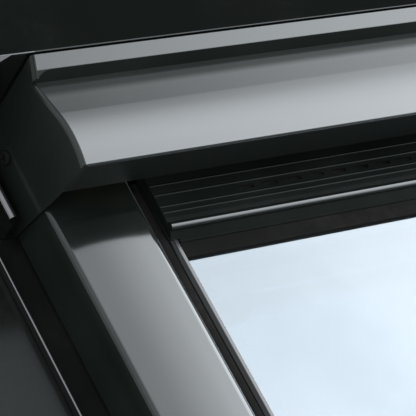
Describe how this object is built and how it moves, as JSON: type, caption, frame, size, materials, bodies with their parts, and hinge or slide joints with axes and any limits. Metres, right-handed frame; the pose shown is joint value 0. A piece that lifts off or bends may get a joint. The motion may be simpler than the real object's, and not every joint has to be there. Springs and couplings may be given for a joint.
{
  "type": "roof skylight",
  "caption": "Centre-pivot roof window with timber frame and sash, double glass, dark lacquered covers, hood, flashings, ventilation flap, latch and barrel bolt.",
  "frame": {"origin": "centre of the rectangle of batten screw holes, on the top of the battens", "axes": "+X across the window to the right seen from outside, +Y up the slope, +Z out of the roof"},
  "size_m": [0.95, 1.278, 0.1934],
  "materials": {
    "lacquered_aluminium": "semi-gloss lacquer",
    "clear_lacquered_pine": "clear lacquer",
    "black_rubber": "matte",
    "zinc_plated_steel": "zinc plated",
    "anodised_aluminium": "satin anodised",
    "grey_plastic": "fine grain",
    "glass": "clear",
    "pleated_sheet": "matt coating"
  },
  "bodies": {
    "frame": {"frame_head": "clear_lacquered_pine", "frame_sill": "clear_lacquered_pine", "frame_jamb_left": "clear_lacquered_pine", "frame_jamb_right": "clear_lacquered_pine", "frame_gasket": "black_rubber", "hood": "lacquered_aluminium", "hood_end_cap_left": "lacquered_aluminium", "hood_end_cap_right": "lacquered_aluminium", "upper_side_cover_left": "lacquered_aluminium", "upper_side_cover_right": "lacquered_aluminium", "sill_cover": "lacquered_aluminium", "head_flashing": "lacquered_aluminium", "side_flashing_left": "lacquered_aluminium", "side_flashing_right": "lacquered_aluminium", "apron_flashing": "pleated_sheet", "mounting_bracket_upper_left": "zinc_plated_steel", "mounting_bracket_upper_right": "zinc_plated_steel", "mounting_bracket_lower_left": "zinc_plated_steel", "mounting_bracket_lower_right": "zinc_plated_steel", "bracket_screws": "zinc_plated_steel", "cover_screws": "zinc_plated_steel", "hinge_frame_plate_left": "zinc_plated_steel", "hinge_frame_plate_right": "zinc_plated_steel", "striker_plate": "zinc_plated_steel", "bolt_bushes": "grey_plastic"},
    "sash": {"sash_top_rail": "clear_lacquered_pine", "sash_bottom_rail": "clear_lacquered_pine", "sash_stile_left": "clear_lacquered_pine", "sash_stile_right": "clear_lacquered_pine", "glass_outer": "glass", "glass_inner": "glass", "glazing_spacer": "anodised_aluminium", "glazing_tape": "black_rubber", "glazing_profile_left": "lacquered_aluminium", "glazing_profile_right": "lacquered_aluminium", "glazing_seal_top": "black_rubber", "glazing_seal_bottom": "black_rubber", "sash_top_cover": "lacquered_aluminium", "sash_bottom_cover": "lacquered_aluminium", "lower_side_cover_left": "lacquered_aluminium", "lower_side_cover_right": "lacquered_aluminium", "sash_hinge_plate_left": "zinc_plated_steel", "sash_hinge_plate_right": "zinc_plated_steel", "hinge_cover_left": "grey_plastic", "hinge_cover_right": "grey_plastic", "setting_blocks": "grey_plastic", "latch_case": "zinc_plated_steel", "bolt_guide": "grey_plastic", "flap_bearings": "grey_plastic"},
    "vent_flap": {"vent_flap": "grey_plastic", "flap_seal": "black_rubber", "control_bar": "anodised_aluminium", "bar_brackets": "grey_plastic"},
    "latch_bolt": {"latch_bolt": "zinc_plated_steel"},
    "barrel_bolt": {"barrel_bolt": "zinc_plated_steel"}
  },
  "joints": [
    {"name": "sash_pivot", "type": "hinge", "parent": "frame", "child": "sash", "pos_m": [0, 0, 0.044], "axis": [-1, 0, 0], "range_deg": [0, 160]},
    {"name": "flap_turn", "type": "hinge", "parent": "sash", "child": "vent_flap", "pos_m": [0, 0.388, -0.031], "axis": [-1, 0, 0], "range_deg": [-30, 0]},
    {"name": "latch_slide", "type": "slide", "parent": "sash", "child": "latch_bolt", "axis": [0, 1, 0], "range_m": [0, 0.02]},
    {"name": "barrel_bolt_slide", "type": "slide", "parent": "sash", "child": "barrel_bolt", "axis": [-1, 0, 0], "range_m": [0, 0.016]}
  ],
  "couplings": [
    {"joint": "latch_slide", "follows": "flap_turn", "m_per_rad": -0.038197}
  ]
}
